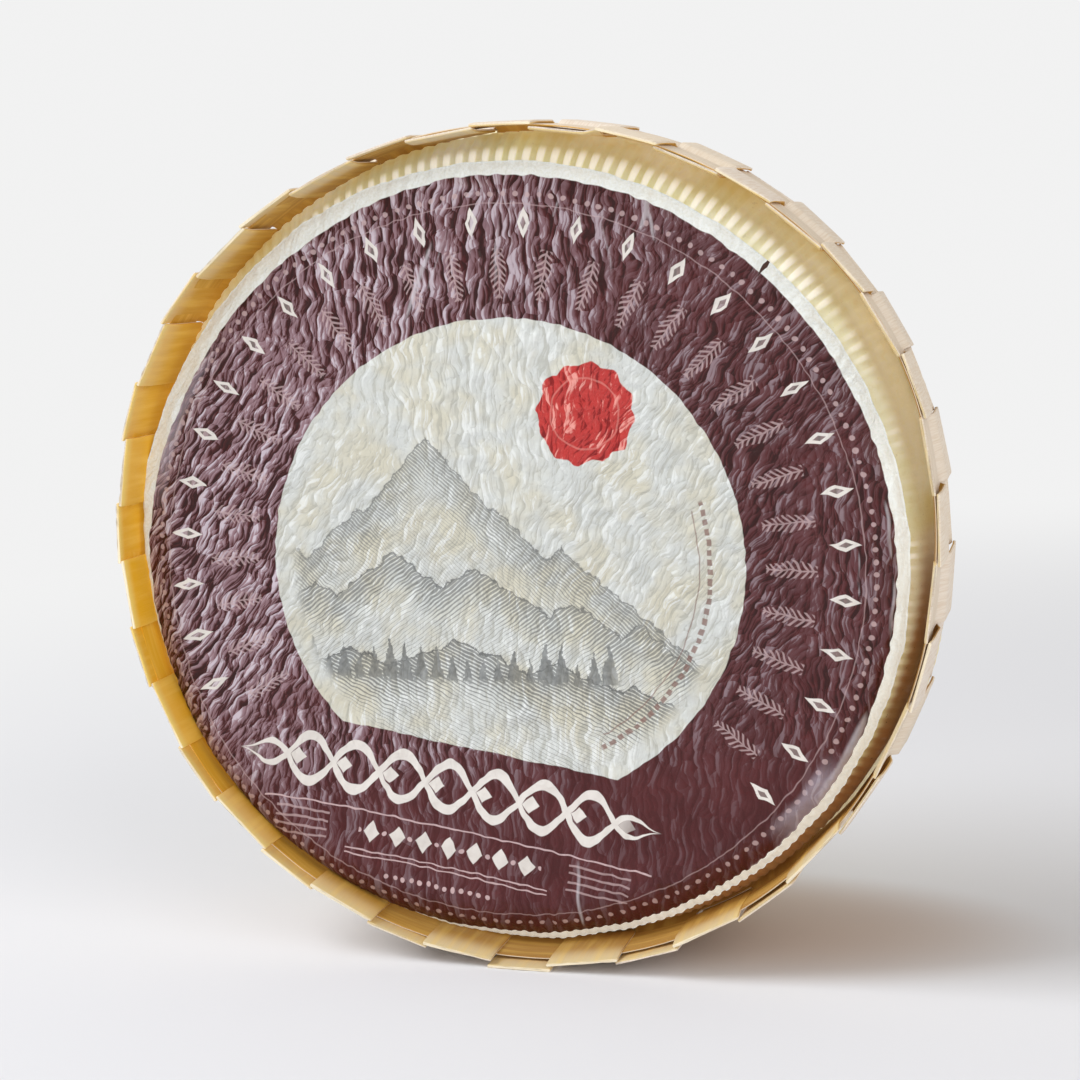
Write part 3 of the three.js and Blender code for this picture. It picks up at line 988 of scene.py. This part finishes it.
def slat(name, index, material):
    """One slat in the frame's place: slightly cupped, wavy and leaning, with uneven ends."""
    stations = slat_stations(name)
    half, half_thick = stations[1, 4:6]
    beside = stations[1, 1:3] - (AXIS_X, AXIS_Z)
    angle = math.atan2(*beside)
    starts_inside = math.hypot(*beside) < belt_radius(np.array(angle), stations[1, 0] - FACE_Y)
    standing = name == STANDING_SLAT
    x, z = slat_section(half, half_thick).T
    crossing = stations[2:4, 0]
    shares = np.concatenate([[0, 0.002, 0.006], np.linspace(0.018, 0.982, 46), [0.994, 0.998, 1]])
    edge_in = np.interp(shares, [0, 0.006, 0.994, 1], [0.16, 0, 0, 0.16])
    fringe = 0.55 * smooth_noise(x * 1.3 + 7 * index, z * 0.8 + 3, 51)
    fringe = fringe + 0.35 * smooth_noise(x * 4 + 7 * index, z + 9, 52)
    lean = np.random.default_rng(500 + index).normal(0, SLAT_LEAN)
    points = []
    wood = []
    for share, shrink in zip(shares, edge_in):
        front = stations[0, 0] + stations[0, 6] * x / (2 * half)
        rear = stations[-1, 0] + stations[-1, 6] * x / (2 * half)
        y = front + share * (rear - front)
        at_end = smooth_step(0.05, 0, share) - smooth_step(0.95, 1, share)
        y = y + at_end * (0.35 + fringe * 0.8)
        # Between the bands the slat crosses over in an S instead of the frame's straight run.
        weave = crossing[0] + smooth_step(crossing[0], crossing[1], y) * (crossing[1] - crossing[0])
        run = np.where((y > crossing[0]) & (y < crossing[1]), weave, y)
        middle_x, middle_z, facing = (np.interp(run, stations[:, 0], stations[:, i]) for i in (1, 2, 3))
        level = SLAT_WAVE * smooth_noise(y / 14 + 11 * index, np.full_like(y, index), 53)
        if name == KINKED_SLAT:
            kink = smooth_step(FACE_Y, FACE_Y + BELT_FRONT, y)
            level = level + kink * (KINK_RISE * smooth_step(0.55, 1.0, x / half) - 0.5)
        trim = (0.08 + 0.08 * smooth_noise(y / 9 + index * 5, np.sign(x), 54)) * np.abs(x / half) ** 3
        # Away from the crossing, the slat on the inside laps under its neighbours' edges.
        inside = (y < crossing.mean()) == starts_inside
        apart = smooth_step(2, 5.5, np.abs(y - crossing.mean()))
        lap = (0.2 + apart * np.where(inside & (not standing), SLAT_LAP, 0.15)) * np.abs(x / half)
        x_here = x - np.sign(x) * (trim + shrink - lap)
        z_here = z * (1 - shrink / half_thick)
        if not standing:
            z_here = z_here + level - SLAT_CUP * (x / half) ** 2 + lean * x
        place_x = middle_x + x_here * np.cos(facing) + z_here * np.sin(facing)
        place_z = middle_z - x_here * np.sin(facing) + z_here * np.cos(facing)
        points.append(np.stack([place_x, y, place_z], -1))
        wood.append(np.stack([x_here, y - FACE_Y - BELT_FRONT, np.full_like(x, index)], -1))
    points = np.concatenate(points)
    if standing:
        points[:, 2] = np.maximum(points[:, 2], 0)
    faces = tube_faces(len(shares), len(x), closed=False)
    inner = np.tile(np.where(z < 0, 1.0, 0.0), len(shares))
    glow = np.full(len(points), inner_glow(angle))
    attributes = {"wood": np.concatenate(wood), "inner": inner, "glow": glow}
    made = piece("wood_" + name, points, faces, material, attributes, crease=50)
    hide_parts(name)
    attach(made, BODY)
    across = np.array([math.cos(angle), 0, -math.sin(angle)])
    out = np.array([math.sin(angle), 0, math.cos(angle)])
    return points.reshape(len(shares), len(x), 3), across, out


def inner_glow(angle):
    """How much painted light the belt's inside gets round the wheel, for light shining through the
    wood: most at the left, least at the right.
    """
    glow = near_angle(angle, 262, 52) + 0.4 * near_angle(angle, 20, 40)
    return np.minimum(1, glow + 0.2 * near_angle(angle, 150, 24))


def band(name, front_edge, seed, material):
    """A thin strip of wood right round between the slats, running a little unevenly."""
    steps = 720
    angle = TURN * np.arange(steps) / steps
    wander = 0.05 * noise_round(angle, 9, 30, seed)
    front = front_edge + 0.45 * noise_round(angle, 8, 60, seed + 1)
    front = front + 0.15 * noise_round(angle, 60, 90, seed + 2)
    rear = front_edge + BAND_WIDTH + 0.45 * noise_round(angle, 7, 20, seed + 3)
    half = BAND_THICKNESS / 2
    flat = np.linspace(0, 1, 8)
    section = [(half, share) for share in flat] + [(-half, share) for share in flat[::-1]]
    points = []
    wood = []
    for out, share in section:
        depth = front + share * (rear - front)
        points.append(wheel_points(angle, belt_radius(angle, depth) + wander + out, depth))
        wood.append(np.stack([depth, angle * FRONT_RADII.mean(), np.full(steps, seed)], -1))
    faces = tube_faces(len(section), steps, closed=True)
    inner = np.repeat([1.0 if out < 0 else 0.0 for out, _ in section], steps)
    glow = np.tile(inner_glow(angle), len(section))
    attributes = {"wood": np.concatenate(wood), "inner": inner, "glow": glow}
    made = piece("wood_" + name, np.concatenate(points), faces, material, attributes, crease=50)
    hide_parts(name)
    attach(made, BODY)


def fibres(slats, material):
    """Fine torn fibres that stand out of the slats' cut ends."""
    random = np.random.default_rng(77)
    points = []
    faces = []
    wood = []
    for index, (grid, across, out) in enumerate(slats):
        if index == int(STANDING_SLAT[-2:]) - 1:
            continue
        shaggy = 0.3 + 0.7 * near_angle(TURN * index / SLAT_COUNT, 212, 40)
        for row, forward in ((0, -1), (-1, 1)):
            for _ in range(int(FIBRES_AT_END * shaggy)):
                at = grid[row][random.integers(0, grid.shape[1])]
                root = at * 0.97 + grid[row].mean(0) * 0.03
                length = random.gamma(2.0, 0.26) * shaggy
                aim = np.array([0, forward, 0]) + across * random.normal(0, 0.35)
                aim = aim + out * random.normal(0, 0.25)
                thick = random.uniform(0.05, 0.11)
                start = len(points)
                for turn in range(3):
                    swing = TURN * turn / 3
                    side = across * math.cos(swing) + out * math.sin(swing)
                    points.append(root - aim * 0.4 + side * thick)
                points.append(root + aim * length)
                a, b, c, tip = range(start, start + 4)
                faces += [[a, b, tip], [b, c, tip], [c, a, tip], [c, b, a]]
                wood += [(0.0, 0.0, float(index))] * 4
    points = np.array(points)
    belt_start = FACE_Y + BELT_FRONT
    points[:, 1] = np.clip(points[:, 1], belt_start - 0.9, belt_start + BELT_LENGTH + 0.9)
    attributes = {"wood": wood, "inner": np.zeros(len(points)), "glow": np.zeros(len(points))}
    made = piece("wood_fibres", points, faces, material, attributes, crease=60)
    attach(made, BODY)


def wood_finish(name, outside, outside_dark):
    """Thin split softwood: bare and pinkish outside, and honey yellow inside the belt. Inside, painted
    light stands in for light coming through the wood, and deeper in the wood is painted darker, as
    shade."""
    finish = Finish(name)
    across, along, number = finish.attribute("wood", "Vector").parts()
    inner = finish.attribute("inner").step(0.3, 0.7)
    glow = finish.attribute("glow")
    grain_place = vector(across, along * 0.045, number * 7.3)
    grain = grain_place.noise(1.6, 4, 0.62, 0.4)
    broad = vector(across * 0.25, along * 0.02, number * 3.1).noise(1.0, 2)
    bare = layer(
        grain.step(0.35, 0.7).mix(outside, outside_dark),
        (number.random().step(0.0, 1.0, 0.0, 0.35), srgb(236, 218, 184)),
    )
    # Painted light and shade: golden where the glow is strong, darker deeper in from the front.
    honey = along.step(0.5, 6.0).mix(srgb(238, 206, 112), srgb(228, 170, 36))
    pale = along.step(3.0, 17.0).mix(srgb(217, 199, 162), srgb(166, 122, 64))
    warm = layer(
        glow.mix(pale, honey),
        (grain.step(0.5, 0.85, 0.0, 0.15), srgb(218, 154, 60)),
        (broad.step(0.4, 0.7, 0.0, 0.3), srgb(246, 208, 110)),
    )
    cut_end = along.step(0.25, 1.0, 0.9, 0.0)
    colour = layer(bare, (inner, warm), (cut_end, srgb(252, 240, 212)))
    height = grain * 0.7 + grain_place.noise(5.0, 3, 0.6) * 0.4
    finish.set(
        Base_Color=colour,
        Roughness=grain.step(0.3, 0.8, 0.5, 0.72),
        Specular_IOR_Level=0.35,
        Emission_Color=colour,
        # Painted light: the inside glows.
        Emission_Strength=inner * (glow * 0.14 + 0.02),
        Normal=height.bump(0.2, 0.6),
    )
    return finish.material


def belt():
    slat_wood = wood_finish("slat_wood", srgb(246, 234, 220), srgb(232, 214, 194))
    band_wood = wood_finish("band_wood", srgb(240, 226, 206), srgb(224, 204, 180))
    made = [slat(f"slat_{i + 1:02d}", i, slat_wood) for i in range(SLAT_COUNT)]
    band("band_front", BELT_FRONT + BAND_SETBACK, 61, band_wood)
    band("band_rear", BELT_FRONT + BELT_LENGTH - BAND_SETBACK - BAND_WIDTH, 71, band_wood)
    fibres(made, slat_wood)


# ---------- floor, light and camera

FLOOR_RADIUS = 9000.0
BACKDROP = 0.885
AMBIENT = 0.48


def floor():
    """A wide pale floor that brightens into the backdrop's colour far from the wheel."""
    finish = Finish("floor")
    x, y, _ = finish.place()
    _, away = polar(x, y)
    far = (away - x * 0.6).step(0.2, 1.4)
    # Painted shadow: the floor close under the wheel's right side is painted brown, as shadow warmed by
    # light from the wood.
    aside, behind = (x - 0.07) * 8.0, (y - 0.03) * 14.0
    close = (aside * aside + behind * behind).step(0.0, 1.3, 0.55, 0.0)
    near = close.mix(srgb(230, 231, 236), srgb(172, 136, 100))
    finish.set(
        Base_Color=far.mix(near, (0, 0, 0, 1)),
        Roughness=1.0,
        Specular_IOR_Level=0.0,
        Emission_Color=(BACKDROP, BACKDROP, BACKDROP, 1),
        Emission_Strength=far,
    )
    count = 64
    angle = TURN * np.arange(count) / count
    points = FLOOR_RADIUS * np.stack([np.cos(angle), np.sin(angle), np.zeros(count)], -1)
    piece("floor", points, [list(range(count))], finish.material)


def world():
    """A near-white surrounding that lights less than it shows."""
    made = bpy.data.worlds.new("studio")
    bpy.context.scene.world = made
    made.use_nodes = True
    tree = made.node_tree
    tree.nodes.clear()
    kinds = ("Background", "Background", "LightPath", "MixShader", "OutputWorld")
    shown, light, path, mix, output = (tree.nodes.new("ShaderNode" + kind) for kind in kinds)
    shown.inputs["Color"].default_value = (BACKDROP, BACKDROP, BACKDROP, 1)
    light.inputs["Color"].default_value = (1.0, 0.965, 0.925, 1)
    light.inputs["Strength"].default_value = AMBIENT
    tree.links.new(path.outputs["Is Camera Ray"], mix.inputs[0])
    tree.links.new(light.outputs[0], mix.inputs[1])
    tree.links.new(shown.outputs[0], mix.inputs[2])
    tree.links.new(mix.outputs[0], output.inputs["Surface"])


def soft_light(name, place, target, size, watts, colour):
    lamp = bpy.data.lights.new(name, "AREA")
    lamp.shape = "RECTANGLE"
    lamp.size, lamp.size_y = size
    lamp.energy = watts
    lamp.color = colour
    made = bpy.data.objects.new(name, lamp)
    made.location = place
    made.rotation_euler = (Vector(target) - Vector(place)).to_track_quat("-Z", "Y").to_euler()
    bpy.context.scene.collection.objects.link(made)


def lights():
    middle = (0, 0, 0.15)
    soft_light("window", (-1.95, -0.91, 2.08), middle, (1.82, 1.56), 62, (0.96, 0.985, 1.0))
    soft_light("fill", (1.5, -1.3, 1.2), middle, (1.8, 1.6), 17, (1.0, 0.98, 0.95))


def camera():
    """Stands where the photograph was taken from: a little to the right and above."""
    azimuth, elevation, roll = (math.radians(v) for v in (15.333, 7.938, -1.07))
    label_middle = Vector((AXIS_X + LABEL_RIGHT, FACE_Y - 0.85, AXIS_Z + LABEL_UP)) * MM
    from_label = Vector((242.5, -832.8, 129.4)) * MM
    data = bpy.data.cameras.new("camera")
    data.lens = 77.57
    data.sensor_width = 36.0
    made = bpy.data.objects.new("camera", data)
    turn = Euler((math.pi / 2 - elevation, 0, azimuth)).to_matrix() @ Matrix.Rotation(roll, 3, "Z")
    made.matrix_world = Matrix.LocRotScale(label_middle + from_label, turn, None)
    bpy.context.scene.collection.objects.link(made)
    bpy.context.scene.camera = made


rind(rind_finish())
label(label_finish())
belt()
floor()
world()
lights()
camera()
bpy.context.scene.view_settings.view_transform = "Standard"
